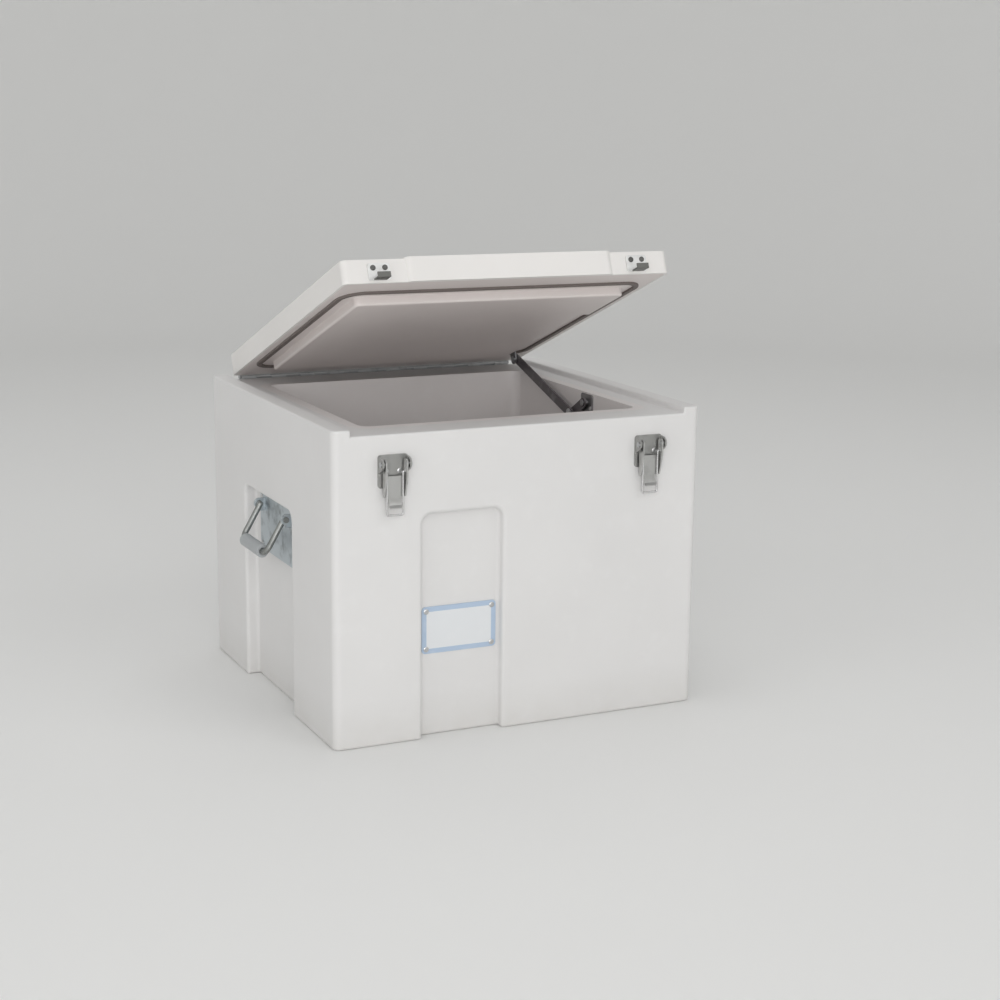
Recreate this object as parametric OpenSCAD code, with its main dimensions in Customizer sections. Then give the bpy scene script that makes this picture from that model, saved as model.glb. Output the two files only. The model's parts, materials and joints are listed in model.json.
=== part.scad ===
// Insulated specimen transport box: foam-filled walls, hinged plug lid, two toggle
// latches, two drop handles and a folding lid stay.
// Origin: centre of the underside. X to the right, Y to the back, Z up.
// The lid is drawn open, turned about its hinge axis from the closed position.

/* [Box] */
// Outside width
body_w = 520; // [440:1:600]
// Outside depth, front to back
body_d = 500; // [440:1:580]
// Height to the top of the side lips
body_h = 410; // [380:1:480]
// Radius of the upright edges
corner_r = 10; // [8:1:24]
// Thickness of the outer skin
skin_t = 4; // [3:0.5:5]
// Thickness of the top deck around the opening
deck_t = 6; // [5:0.5:8]
// Width of the raised lip on each side
lip_w = 24; // [16:1:26]
// Height of the side lips above the seat
lip_h = 8; // [4:1:12]

/* [Inside] */
// Side wall thickness, outside to inside
wall_side = 62; // [56:1:70]
// Front wall thickness
wall_front = 62; // [56:1:70]
// Rear wall thickness
wall_rear = 70; // [60:1:80]
// Floor thickness
floor_t = 60; // [45:1:75]
// Thickness of the inner liner
liner_t = 3; // [2:0.5:4]
// Width of the flange of the liner
flange_w = 12; // [8:1:16]
// Thickness of the flange of the liner
flange_t = 3; // [2:0.5:4]
// Radius of the upright edges inside
cavity_r = 14; // [12:1:40]

/* [Moulded channels] */
// Width of the channel in the front wall
front_channel_w = 113; // [80:1:130]
// Distance from the left latch to the channel in the front wall
front_channel_gap = 20.5; // [15:0.5:30]
// Height of the top of the front channel
front_channel_top = 297; // [240:1:310]
// Depth of the front channel
front_channel_depth = 14; // [8:1:20]
// Width of the channel in each side wall
side_channel_w = 196; // [180:1:230]
// Place of the middle of the side channels, front to back
side_channel_y = 6; // [-20:1:20]
// Height of the top of the side channels
side_channel_top = 277; // [270:1:310]
// Depth of the side channels
side_channel_depth = 18; // [14:1:24]
// Radius of the top corners of the channels
channel_r = 14; // [6:1:20]

/* [Lid] */
// Angle at which the lid stands open
lid_open = 21; // [10:1:28]
// Gap between each side of the lid and the lip beside it
lid_side_gap = 7; // [5:0.5:9]
// Gap between the front of the box and the front of the lid
lid_setback = 5; // [5:1:10]
// Thickness of the lid rim
lid_h = 30; // [28:1:40]
// Radius of the corners of the lid
lid_r = 8; // [6:1:20]
// Thickness of the lid skin
lid_skin_t = 3.5; // [3:0.5:4.5]
// Gap between the seat and the closed lid, filled by the seal
lid_gap = 3; // [2:0.5:4]
// Distance from each side of the lid to its raised panel
panel_inset = 83; // [80:1:110]
// Height of the raised panel
panel_rise = 1.5; // [1:0.5:6]
// How far the panel stands proud of the front of the lid
panel_proud = 4; // [1:0.5:5]
// How far the plug reaches below the lid rim
plug_h = 12; // [8:0.5:16]
// Gap between the plug and the walls
plug_gap = 6; // [4:0.5:10]
// Width of the seal
seal_w = 8; // [6:0.5:12]
// Distance from the opening to the seal
seal_offset = 10; // [8:0.5:11]

/* [Hinge] */
// Distance from each side of the lid to the end of the hinge
hinge_inset = 14; // [9:1:60]
// Knuckles along the hinge, always an odd number
hinge_knuckles = 19; // [11:2:23]
// Rivets in each leaf
hinge_rivets = 6; // [4:1:8]
// Distance of the hinge axis behind the box
hinge_standoff = 5.5; // [5.5:0.1:7]
// Radius of the hinge knuckles
knuckle_r = 4.5; // [4.5:0.1:5]
// Radius of the hinge pin
hinge_pin_r = 2.5; // [2:0.1:3]
// Thickness of the hinge leaves
leaf_t = 2; // [2:0.1:2.5]
// Height of the leaf on the box
body_leaf_h = 34; // [28:1:44]
// Height of the leaf on the lid
lid_leaf_h = 24; // [18:1:24]

/* [Latches] */
// Distance of each latch from the side of the lid
latch_inset = 48; // [39:1:60]
// Width of the latch base
latch_w = 40; // [40:1:50]
// Height of the latch base
latch_h = 42; // [40:1:50]
// Distance from the seat down to the latch base
latch_drop = 25; // [20:1:40]
// Thickness of the latch base plate
latch_plate_t = 2; // [1.5:0.1:2.4]
// Thickness of the cheeks of the latch
cheek_t = 2.5; // [2:0.1:3]
// Distance of the lever pivot from the wall
lever_pivot_d = 11; // [10:0.1:12]
// Distance of the lever pivot below the top of the base
lever_pivot_drop = 10.5; // [9:0.5:12]
// Distance of the loop pivot below the lever pivot
loop_pivot_drop = 10; // [9:0.1:12]
// Distance of the loop pivot from the wall
loop_pivot_d = 8.5; // [8.3:0.1:9]
// Radius of the loop wire
wire_r = 1.3; // [1:0.1:1.4]
// Half the distance between the legs of the loop
loop_half = 10.7; // [10:0.1:10.8]
// Half the width of the lever
lever_half = 15; // [15:0.1:15.5]
// Thickness of the lever metal
lever_t = 2; // [1.6:0.1:2]
// Length of the lever below its pivot
lever_len = 56; // [50:1:62]
// Half the width of the finger tab
tab_half = 8; // [5:0.5:8]
// Height of the finger tab
tab_h = 14; // [8:1:16]

/* [Keepers] */
// Half the width of a keeper plate
keeper_half = 15; // [12:0.5:18]
// Height of a keeper plate
keeper_h = 22; // [18:1:24]
// Thickness of the keeper metal
keeper_t = 2; // [1.5:0.1:2.5]
// Half the width of the keeper hook
hook_half = 8.6; // [6:0.1:8.8]
// Height of the upturned edge of the hook
hook_rise = 5; // [3:0.5:6]

/* [Handles] */
// Width of the handle plate
handle_w = 150; // [140:1:170]
// Height of the handle plate
handle_h = 82; // [80:1:86]
// Distance from the top of the channel to the handle plate
handle_drop = 4; // [2:1:8]
// Thickness of the handle plate
handle_plate_t = 2.5; // [2:0.1:3]
// Half the distance between the arms of the bail
bail_half = 50; // [44:1:54]
// Radius of the bail rod
bail_r = 4; // [3:0.1:4.5]
// Distance from the bail pivot down to the grip
bail_drop = 52; // [48:1:54]
// Distance of the bail pivot from the channel floor
bail_standoff = 11; // [11:0.5:13]
// Angle at which the bail leans out
bail_lean = 30; // [20:1:36]
// Radius of the grip
grip_r = 9; // [7:0.5:9.5]
// Length of the grip
grip_len = 74; // [50:1:76]
// Thickness of the lugs that hold the bail
lug_t = 3; // [2:0.1:4]

/* [Lid stay] */
// Width of the arms
stay_w = 14; // [13:0.5:15]
// Thickness of the arms
stay_t = 2.5; // [2:0.1:2.5]
// Radius of the stay pins
stay_pin_r = 2.5; // [2:0.1:2.8]
// Place of the wall pivot, front to back
stay_wall_y = -48; // [-52:1:-44]
// Distance of the wall pivot below the seat
stay_wall_drop = 14; // [13:1:16]
// Distance of the elbow behind the wall pivot
elbow_reach = 32; // [30:0.5:34]
// Distance of the elbow below the wall pivot
elbow_drop = 19; // [18:0.5:21]
// Distance of the lid pivot in front of the hinge axis
stay_lid_reach = 95.5; // [94:0.5:97]
// Distance of the lid pivot below the lid rim
stay_lid_drop = 17; // [16:0.5:18]
// Play at the elbow, along the long arm to each side
elbow_play_long = 4.3; // [4.3:0.1:5]
// Play at the elbow, across the long arm to each side
elbow_play_wide = 2.3; // [2.3:0.1:2.6]

/* [Label plate] */
// Gap between each side of the blank label plate and the channel
label_side_gap = 4.5; // [3.5:0.5:20]
// Height of the blank label plate
label_h = 62; // [40:1:80]
// Height of the bottom of the label plate
label_z = 110; // [60:1:140]
// Thickness of the label plate
label_t = 1.5; // [1:0.1:2.5]

/* [Fasteners] */
// Radius of the rivet shanks
rivet_r = 2; // [1.6:0.1:2.2]
// Radius of the rivet heads
rivet_head_r = 3.5; // [3:0.1:4]
// Height of the rivet heads
rivet_head_h = 1.3; // [1:0.1:1.4]
// Gap between parts that turn on each other
fit = 0.08; // [0.05:0.01:0.1]

/* [Hidden] */
$fn = 48;
// steps in a quarter of a drawn outline's corner
corner_steps = 12;
// overlap that lets a cut pass cleanly through a face
past = 1;

// the box
seat_z = body_h - lip_h;
front_y = -body_d / 2;
rear_y = body_d / 2;
deck_z = seat_z - deck_t;
cavity_w = body_w - 2 * wall_side;
cavity_d = body_d - wall_front - wall_rear;
cavity_y = (wall_front - wall_rear) / 2;
cavity_half = cavity_w / 2;

// the lid, as it lies when closed
lid_w = body_w - 2 * (lip_w + lid_side_gap);
panel_w = lid_w - 2 * panel_inset;
panel_r = 10;
lid_z = seat_z + lid_gap;
lid_front = front_y + lid_setback;
lid_d = rear_y - lid_front;
lid_y = (rear_y + lid_front) / 2;
lid_top = lid_z + lid_h;
plug_w = cavity_w - 2 * plug_gap;
plug_d = cavity_d - 2 * plug_gap;
seal_t = lid_gap - 0.3;

// the hinge axis
hinge_y = rear_y + hinge_standoff;
hinge_z = lid_z - 1;
hinge_len = lid_w - 2 * hinge_inset;
knuckle_gap = 0.4;
knuckle_len = hinge_len / hinge_knuckles;
hinge_rivet_inset = 18;
hinge_rivet_step = (hinge_len - 2 * hinge_rivet_inset) / (hinge_rivets - 1);
leaf_clear = knuckle_r + 1;
pin_head_t = 1.5;

// the latch, with distances out from the wall
latch_x = lid_w / 2 - latch_inset;
latch_rivet_x = 9;
latch_rivet_rise = [7, 21];
latch_top = seat_z - latch_drop;
latch_bottom = latch_top - latch_h;
lever_z = latch_top - lever_pivot_drop;
loop_z = lever_z - loop_pivot_drop;
web_d = 5;
web_t = 1.5;
flange_out = 15.5;
wire_bend = 2;
cheek_half = latch_w / 2 - cheek_t - 0.5;
stub_in = lever_half - lever_t - 0.4;
hook_z = lid_z + 5;
hook_gap = 0.4;
keeper_rise = 3;
keeper_rivet_x = 8;
keeper_rivet_drop = 6;
loop_len = hook_z + wire_r + hook_gap - loop_z;

// the front channel and its label plate
front_channel_x = latch_w / 2 - latch_x + front_channel_gap + front_channel_w / 2;
label_w = front_channel_w - 2 * label_side_gap;
label_rivet_inset = 6;

// the handle, with distances out from the channel floor
handle_plate_r = 10;
handle_rivet_inset = 8;
handle_top = side_channel_top - handle_drop;
handle_z = handle_top - handle_h / 2;
bail_z = handle_top - 15;
bail_bend = 10;
bail_past_lug = 2;
lug_in = bail_half + 5;
lug_rim = 3;
lug_h = 2 * bail_standoff - 4;
floor_x = body_w / 2 - side_channel_depth;

// the stay, in the plane of the right wall; points are [front to back, height]
stay_pitch = 4.5;
stay_x_lower = cavity_half - 8;
stay_x_upper = stay_x_lower - stay_pitch;
stay_x_ear = stay_x_upper - stay_pitch;
stay_gap = 0.3;
stay_boss_r = 4.5;
stay_head_t = 1.5;
lid_pin_head_t = 1.4;
elbow_head_r = 6;
bracket_t = 2;
wall_plate = [34, 26];
wall_screw_y = 12;
wall_screw_drop = 7;
lid_foot = [12, 40];
lid_screw_y = 14;
ear_t = 2.5;
ear_w = 16;
stay_wall = [stay_wall_y, seat_z - stay_wall_drop];
stay_lid_closed = [hinge_y - stay_lid_reach, lid_z - stay_lid_drop];
// a point of the closed lid, turned to the open lid
function opened(p) = let (v = p - [hinge_y, hinge_z])
    [hinge_y + v[0] * cos(lid_open) + v[1] * sin(lid_open),
     hinge_z - v[0] * sin(lid_open) + v[1] * cos(lid_open)];
stay_lid = opened(stay_lid_closed);
// the elbow is where the two arms meet, below the line between their pivots
elbow = stay_wall + [elbow_reach, -elbow_drop];
stay_upper_len = norm(elbow - stay_lid);
stay_lower_len = norm(elbow - stay_wall);
// the slot of the long arm reaches further beyond the elbow than before it
slot_shift = 1.5;
notch_side = cavity_half - 24;
notch_front = stay_wall_y - 30;

// outline of a rectangle with round corners, about its middle
function round_rect(w, d, r) = [for (q = [0:3], s = [0:corner_steps])
    let (a = 90 * (q + s / corner_steps),
         sx = (q == 0 || q == 3) ? 1 : -1,
         sy = q < 2 ? 1 : -1)
    [sx * (w / 2 - r) + r * cos(a), sy * (d / 2 - r) + r * sin(a)]];

// outline of a bar with round ends, from the origin along X
function bar_outline(len, w) = concat(
    [for (s = [0:2 * corner_steps]) let (a = 90 + 90 * s / corner_steps)
        [w / 2 * cos(a), w / 2 * sin(a)]],
    [for (s = [0:2 * corner_steps]) let (a = -90 + 90 * s / corner_steps)
        [len + w / 2 * cos(a), w / 2 * sin(a)]]);

// upright prism of a rounded rectangle, between two heights
module prism(w, d, r, y, z0, z1) {
    translate([0, y, z0]) linear_extrude(z1 - z0) polygon(round_rect(w, d, r));
}

// flat shape drawn as [Y, Z], thick along X from x0
module yz_plate(x0, t) {
    translate([x0, 0, 0]) rotate([90, 0, 90]) linear_extrude(t) children();
}

// flat shape drawn as [X, Z], thick towards the front from y0
module xz_plate(y0, t) {
    translate([0, y0, 0]) rotate([90, 0, 0]) linear_extrude(t) children();
}

module x_rod(x0, len, y, z, r) {
    translate([x0, y, z]) rotate([0, 90, 0]) cylinder(h = len, r = r);
}

module y_rod(x, y0, z, len, r) {
    translate([x, y0, z]) rotate([-90, 0, 0]) cylinder(h = len, r = r);
}

// quarter ring of round rod in the XY plane, centre at the origin
module quarter_bend(r, bend) {
    rotate_extrude(angle = 90) translate([bend, 0]) circle(r = r);
}

module open_lid() {
    translate([0, hinge_y, hinge_z]) rotate([-lid_open, 0, 0]) translate([0, -hinge_y, -hinge_z]) children();
}

// both sides of the box, from what is drawn on the right
module mirrored(side) {
    if (side > 0) {
        children();
    } else {
        mirror([1, 0, 0]) children();
    }
}

// rivet along Z: dome-edged head above the origin, shank below
module rivet(shank) {
    cylinder(h = rivet_head_h * 0.6, r = rivet_head_r);
    translate([0, 0, rivet_head_h * 0.6])
        cylinder(h = rivet_head_h * 0.4, r1 = rivet_head_r, r2 = rivet_head_r * 0.7, $fn = 48);
    translate([0, 0, -shank]) cylinder(h = shank, r = rivet_r);
}

module rivet_hole(depth) {
    translate([0, 0, -depth]) cylinder(h = depth + past, r = rivet_r);
}

// places of the fasteners, each turned so that its head points out
module label_places() {
    for (sx = [-1, 1], sz = [-1, 1])
        translate([front_channel_x + sx * (label_w / 2 - label_rivet_inset),
                   front_y + front_channel_depth - label_t,
                   label_z + label_h / 2 + sz * (label_h / 2 - label_rivet_inset)])
            rotate([90, 0, 0]) children();
}

module latch_places() {
    for (side = [-1, 1], sx = [-1, 1], rise = latch_rivet_rise)
        translate([side * latch_x + sx * latch_rivet_x, front_y - latch_plate_t, latch_bottom + rise])
            rotate([90, 0, 0]) children();
}

module keeper_places() {
    for (side = [-1, 1], sx = [-1, 1])
        translate([side * latch_x + sx * keeper_rivet_x, lid_front - keeper_t,
                   lid_z + keeper_rise + keeper_h - keeper_rivet_drop]) rotate([90, 0, 0]) children();
}

module hinge_places(z) {
    for (k = [0:hinge_rivets - 1])
        translate([(k - (hinge_rivets - 1) / 2) * hinge_rivet_step, rear_y + leaf_t, z])
            rotate([-90, 0, 0]) children();
}

module hinge_body_places() {
    hinge_places(hinge_z - (body_leaf_h + leaf_clear) / 2) children();
}

module hinge_lid_places() {
    hinge_places(hinge_z + lid_leaf_h / 2 + leaf_clear) children();
}

module handle_places(side) {
    mirrored(side) for (sy = [-1, 1], sz = [-1, 1])
        translate([floor_x + handle_plate_t, side_channel_y + sy * (handle_w / 2 - handle_rivet_inset),
                   handle_z + sz * (handle_h / 2 - handle_rivet_inset)]) rotate([0, 90, 0]) children();
}

module stay_wall_places() {
    for (sy = [-1, 1])
        translate([cavity_half - bracket_t, stay_wall[0] + sy * wall_screw_y, stay_wall[1] - wall_screw_drop])
            rotate([0, -90, 0]) children();
}

module stay_lid_places() {
    for (sy = [-1, 1])
        translate([stay_x_ear + lid_foot[0] / 2, stay_lid_closed[0] + sy * lid_screw_y, lid_z - bracket_t])
            rotate([180, 0, 0]) children();
}

// the channels as solids to cut away; grow keeps a skin behind them
module channels(grow) {
    front_h = front_channel_top + grow + channel_r + past;
    side_h = side_channel_top + grow + channel_r + past;
    side_d = side_channel_depth + grow;
    xz_plate(front_y + front_channel_depth + grow, front_channel_depth + grow + past)
        translate([front_channel_x, front_channel_top + grow - front_h / 2])
        polygon(round_rect(front_channel_w + 2 * grow, front_h, channel_r));
    for (x = [-body_w / 2 - past, body_w / 2 - side_d])
        yz_plate(x, side_d + past)
            translate([side_channel_y, side_channel_top + grow - side_h / 2])
            polygon(round_rect(side_channel_w + 2 * grow, side_h, channel_r));
}

// the box as a plain block with its channels, drawn in by an inset
module box_form(inset, z0, z1) {
    difference() {
        prism(body_w - 2 * inset, body_d - 2 * inset, corner_r - inset, 0, z0, z1);
        channels(inset);
    }
}

module cavity_form(grow, z0, z1) {
    prism(cavity_w + 2 * grow, cavity_d + 2 * grow, cavity_r + grow, cavity_y, z0, z1);
}

module outer_shell() {
    color([0.86, 0.86, 0.85]) difference() {
        box_form(0, 0, body_h);
        box_form(skin_t, skin_t, deck_z);
        translate([lip_w - body_w / 2, front_y - past, seat_z])
            cube([body_w - 2 * lip_w, body_d + 2 * past, lip_h + past]);
        cavity_form(liner_t, deck_z - past, seat_z + past);
        cavity_form(liner_t + flange_w, seat_z - flange_t, seat_z + past);
        label_places() rivet_hole(label_t + skin_t + past);
        latch_places() rivet_hole(latch_plate_t + skin_t + past);
        hinge_body_places() rivet_hole(leaf_t + skin_t + past);
        for (side = [-1, 1]) handle_places(side) rivet_hole(handle_plate_t + skin_t + past);
    }
}

module inner_liner() {
    color([0.80, 0.79, 0.79]) difference() {
        union() {
            cavity_form(liner_t, floor_t - liner_t, seat_z);
            cavity_form(liner_t + flange_w, seat_z - flange_t, seat_z);
        }
        cavity_form(0, floor_t, seat_z + past);
        stay_wall_places() rivet_hole(bracket_t + liner_t + past);
    }
}

module foam_core() {
    color([0.93, 0.88, 0.70]) difference() {
        box_form(skin_t, skin_t, deck_z);
        cavity_form(liner_t, floor_t - liner_t, deck_z + past);
    }
}

module label_plate() {
    color([0.55, 0.66, 0.80]) difference() {
        xz_plate(front_y + front_channel_depth, label_t)
            translate([front_channel_x, label_z + label_h / 2]) polygon(round_rect(label_w, label_h, 5));
        label_places() rivet_hole(label_t + past);
    }
}

module label_rivets() {
    color([0.75, 0.76, 0.78]) label_places() rivet(label_t + skin_t);
}

// lid pieces are drawn closed and turned open
module lid_form(inset, z0, z1) {
    prism(lid_w - 2 * inset, lid_d - 2 * inset, lid_r - inset, lid_y, z0, z1);
}

module notch_cut(grow) {
    through = grow > 0 ? liner_t + 2 * past : 0;
    translate([notch_side - grow, notch_front - grow, lid_z - plug_h - past])
        cube([cavity_half, body_d, plug_h + past + through]);
}

module plug_form(inset, z0, z1) {
    difference() {
        prism(plug_w - 2 * inset, plug_d - 2 * inset, max(cavity_r - plug_gap - inset, 0.5),
            cavity_y, z0, z1);
        notch_cut(inset);
    }
}

module lid_shell() {
    color([0.89, 0.88, 0.87]) open_lid() difference() {
        union() {
            lid_form(0, lid_z, lid_top);
            prism(panel_w, lid_d + panel_proud, panel_r,
                lid_y - panel_proud / 2, lid_z, lid_top + panel_rise);
        }
        lid_form(lid_skin_t, lid_z - past, lid_top - lid_skin_t);
        keeper_places() rivet_hole(keeper_t + lid_skin_t + past);
        hinge_lid_places() rivet_hole(leaf_t + lid_skin_t + past);
    }
}

module lid_liner() {
    color([0.72, 0.69, 0.67]) open_lid() difference() {
        union() {
            lid_form(lid_skin_t, lid_z, lid_z + liner_t);
            plug_form(0, lid_z - plug_h, lid_z);
        }
        plug_form(liner_t, lid_z - plug_h + liner_t, lid_z + liner_t + past);
        stay_lid_places() rivet_hole(bracket_t + liner_t + past);
    }
}

module lid_foam() {
    color([0.93, 0.88, 0.70]) open_lid() union() {
        lid_form(lid_skin_t, lid_z + liner_t, lid_top - lid_skin_t);
        plug_form(liner_t, lid_z - plug_h + liner_t, lid_z + liner_t);
    }
}

module lid_seal() {
    color([0.25, 0.25, 0.26]) open_lid() difference() {
        cavity_form(seal_offset + seal_w, lid_z - seal_t, lid_z);
        cavity_form(seal_offset, lid_z - seal_t - past, lid_z + past);
    }
}

// knuckles first, first + 2, ... of the hinge, joined to a leaf on one side of the axis
module hinge_leaf(first, height, up) {
    x0 = -hinge_len / 2;
    difference() {
        union() {
            translate([x0, rear_y, up ? hinge_z + leaf_clear : hinge_z - height])
                cube([hinge_len, leaf_t, height - leaf_clear]);
            for (k = [first:2:hinge_knuckles - 1]) {
                kx = x0 + k * knuckle_len + knuckle_gap / 2;
                translate([kx, rear_y, up ? hinge_z : hinge_z - leaf_clear])
                    cube([knuckle_len - knuckle_gap, leaf_t, leaf_clear]);
                x_rod(kx, knuckle_len - knuckle_gap, hinge_y, hinge_z, knuckle_r);
            }
        }
        x_rod(x0 - past, hinge_len + 2 * past, hinge_y, hinge_z, hinge_pin_r + fit);
        hinge_body_places() rivet_hole(leaf_t + past);
        hinge_lid_places() rivet_hole(leaf_t + past);
    }
}

module hinge_body_leaf() {
    color([0.70, 0.71, 0.73]) hinge_leaf(0, body_leaf_h, false);
}

module hinge_lid_leaf() {
    color([0.70, 0.71, 0.73]) open_lid() hinge_leaf(1, lid_leaf_h + leaf_clear, true);
}

module hinge_pin() {
    color([0.62, 0.63, 0.65]) {
        x_rod(-hinge_len / 2 - 1, hinge_len + 2, hinge_y, hinge_z, hinge_pin_r);
        for (e = [-1, 1])
            x_rod(e * (hinge_len / 2 + 1) - (e < 0 ? pin_head_t : 0), pin_head_t,
                hinge_y, hinge_z, knuckle_r - 1);
    }
}

module hinge_body_rivets() {
    color([0.75, 0.76, 0.78]) hinge_body_places() rivet(leaf_t + skin_t);
}

module hinge_lid_rivets() {
    color([0.75, 0.76, 0.78]) open_lid() hinge_lid_places() rivet(leaf_t + lid_skin_t);
}

// a keeper is a plate on the front of the lid with a hook that opens upwards
module keeper(side) {
    lip_d = loop_pivot_d + wire_r + 0.8 + lid_setback;
    color([0.66, 0.67, 0.69]) open_lid() difference() {
        translate([side * latch_x, lid_front, 0]) union() {
            xz_plate(0, keeper_t)
                translate([0, lid_z + keeper_rise + keeper_h / 2])
                    polygon(round_rect(2 * keeper_half, keeper_h, 3));
            translate([-hook_half, -lip_d - keeper_t, hook_z - keeper_t])
                cube([2 * hook_half, lip_d + keeper_t, keeper_t]);
            translate([-hook_half, -lip_d - keeper_t, hook_z])
                cube([2 * hook_half, keeper_t, hook_rise]);
        }
        keeper_places() rivet_hole(keeper_t + past);
    }
}

module keeper_rivets() {
    color([0.75, 0.76, 0.78]) open_lid() keeper_places() rivet(keeper_t + lid_skin_t);
}

// latch pieces are drawn about the middle of the latch, out from the wall towards -Y
module at_latch(side) {
    translate([side * latch_x, front_y, 0]) children();
}

module latch_base(side) {
    color([0.60, 0.61, 0.62]) difference() {
        at_latch(side) difference() {
            union() {
                xz_plate(0, latch_plate_t)
                    translate([0, latch_bottom + latch_h / 2]) polygon(round_rect(latch_w, latch_h, 4));
                for (x = [-cheek_half - cheek_t, cheek_half])
                    yz_plate(x, cheek_t) polygon([[0, lever_z - 14], [-lever_pivot_d, lever_z - 8],
                        [-lever_pivot_d - 5, lever_z - 3], [-lever_pivot_d - 5, lever_z + 4],
                        [-lever_pivot_d, lever_z + 8], [0, lever_z + 9]]);
            }
            x_rod(-latch_w, 2 * latch_w, -lever_pivot_d, lever_z, rivet_r);
        }
        latch_places() rivet_hole(latch_plate_t + past);
    }
}

module latch_lever(side) {
    web_top = loop_z - 6;
    web_bottom = lever_z - lever_len + tab_h;
    color([0.70, 0.71, 0.73]) at_latch(side) difference() {
        union() {
            translate([-lever_half, -web_d - web_t, web_bottom])
                cube([2 * lever_half, web_t, web_top - web_bottom]);
            for (x = [-lever_half, lever_half - lever_t])
                yz_plate(x, lever_t) polygon([
                    [-web_d, web_bottom], [-web_d - 3.5, web_bottom],
                    [-flange_out, loop_z - 5], [-flange_out, lever_z + 3],
                    [-lever_pivot_d - 2, lever_z + 5.5], [-lever_pivot_d + 4, lever_z + 5.5],
                    [-web_d, lever_z + 3]]);
            yz_plate(-tab_half, 2 * tab_half) polygon([
                [-web_d, web_bottom + 2], [-web_d - web_t, web_bottom + 2],
                [-web_d - web_t, web_bottom], [-web_d - 5, web_bottom - tab_h + 4],
                [-web_d - 8.5, web_bottom - tab_h + 1], [-web_d - 8, web_bottom - tab_h],
                [-web_d - 3.5, web_bottom - tab_h + 2], [-web_d, web_bottom]]);
        }
        x_rod(-latch_w, 2 * latch_w, -lever_pivot_d, lever_z, rivet_r + fit);
        x_rod(-latch_w, 2 * latch_w, -loop_pivot_d, loop_z, wire_r + fit);
    }
}

// the wire loop: two stubs in the lever, two legs and a cross bar, hanging down
module latch_loop(side) {
    leg_len = loop_len - 2 * wire_bend;
    bottom = loop_z - loop_len;
    color([0.74, 0.75, 0.77]) at_latch(side) translate([0, -loop_pivot_d, 0])
    for (s = [0, 1]) mirror([s, 0, 0]) {
        x_rod(loop_half + wire_bend, lever_half - 0.3 - loop_half - wire_bend, 0, loop_z, wire_r);
        translate([loop_half + wire_bend, 0, loop_z - wire_bend])
            rotate([90, 0, 180]) mirror([0, 0, 1]) quarter_bend(wire_r, wire_bend);
        translate([loop_half, 0, bottom + wire_bend]) cylinder(h = leg_len, r = wire_r);
        translate([loop_half - wire_bend, 0, bottom + wire_bend])
            rotate([-90, 0, 0]) quarter_bend(wire_r, wire_bend);
        x_rod(0, loop_half - wire_bend, 0, bottom, wire_r);
    }
}

// short pivot rivets of the levers, one through each cheek
module latch_pins() {
    color([0.75, 0.76, 0.78]) for (side = [-1, 1]) at_latch(side) for (s = [0, 1]) mirror([s, 0, 0]) {
        x_rod(stub_in, latch_w / 2 - stub_in, -lever_pivot_d, lever_z, rivet_r);
        x_rod(cheek_half + cheek_t, rivet_head_h, -lever_pivot_d, lever_z, rivet_head_r);
    }
}

module latch_rivets() {
    color([0.75, 0.76, 0.78]) latch_places() rivet(latch_plate_t + skin_t);
}

// handle pieces are drawn on the right and mirrored to the left
module handle_plate(side) {
    color([0.68, 0.72, 0.76]) difference() {
        mirrored(side) difference() {
            union() {
                yz_plate(floor_x, handle_plate_t)
                    translate([side_channel_y, handle_z])
                        polygon(round_rect(handle_w, handle_h, handle_plate_r));
                for (s = [-1, 1])
                    translate([floor_x, side_channel_y + s * (lug_in + lug_t / 2) - lug_t / 2,
                               bail_z - bail_standoff])
                        cube([bail_standoff, lug_t, lug_h]);
                for (s = [-1, 1])
                    y_rod(floor_x + bail_standoff, side_channel_y + s * (lug_in + lug_t / 2) - lug_t / 2,
                        bail_z, lug_t, bail_r + lug_rim);
            }
            y_rod(floor_x + bail_standoff, side_channel_y - handle_w, bail_z, 2 * handle_w, bail_r + fit);
        }
        handle_places(side) rivet_hole(handle_plate_t + past);
    }
}

// turns what is drawn hanging from the bail pivot at the origin to its place
module hang_bail(side) {
    mirrored(side) translate([floor_x + bail_standoff, side_channel_y, bail_z])
        rotate([0, -bail_lean, 0]) children();
}

module handle_bail(side) {
    color([0.62, 0.64, 0.66]) hang_bail(side) for (s = [0, 1]) mirror([0, s, 0]) {
        stub = lug_in + lug_t + bail_past_lug - bail_half;
        arm = bail_drop - bail_bend;
        y_rod(0, bail_half, 0, stub, bail_r);
        translate([0, bail_half, -bail_r]) cylinder(h = bail_r, r = bail_r);
        corner_ball(bail_half);
        translate([0, bail_half, -arm]) cylinder(h = arm - bail_r, r = bail_r);
        translate([0, bail_half - bail_bend, -arm]) rotate([0, 90, 0]) quarter_bend(bail_r, bail_bend);
        y_rod(0, 0, -bail_drop, bail_half - bail_bend, bail_r);
    }
}

// rounds the top corner of the bail, where the arm meets its stub
module corner_ball(y) {
    translate([0, y, 0]) sphere(r = bail_r);
}

module handle_grip(side) {
    color([0.25, 0.26, 0.28]) hang_bail(side) difference() {
        y_rod(0, -grip_len / 2, -bail_drop, grip_len, grip_r);
        y_rod(0, -grip_len / 2 - past, -bail_drop, grip_len + 2 * past, bail_r);
    }
}

module handle_rivets() {
    color([0.75, 0.76, 0.78]) for (side = [-1, 1]) handle_places(side) rivet(handle_plate_t + skin_t);
}

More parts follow.
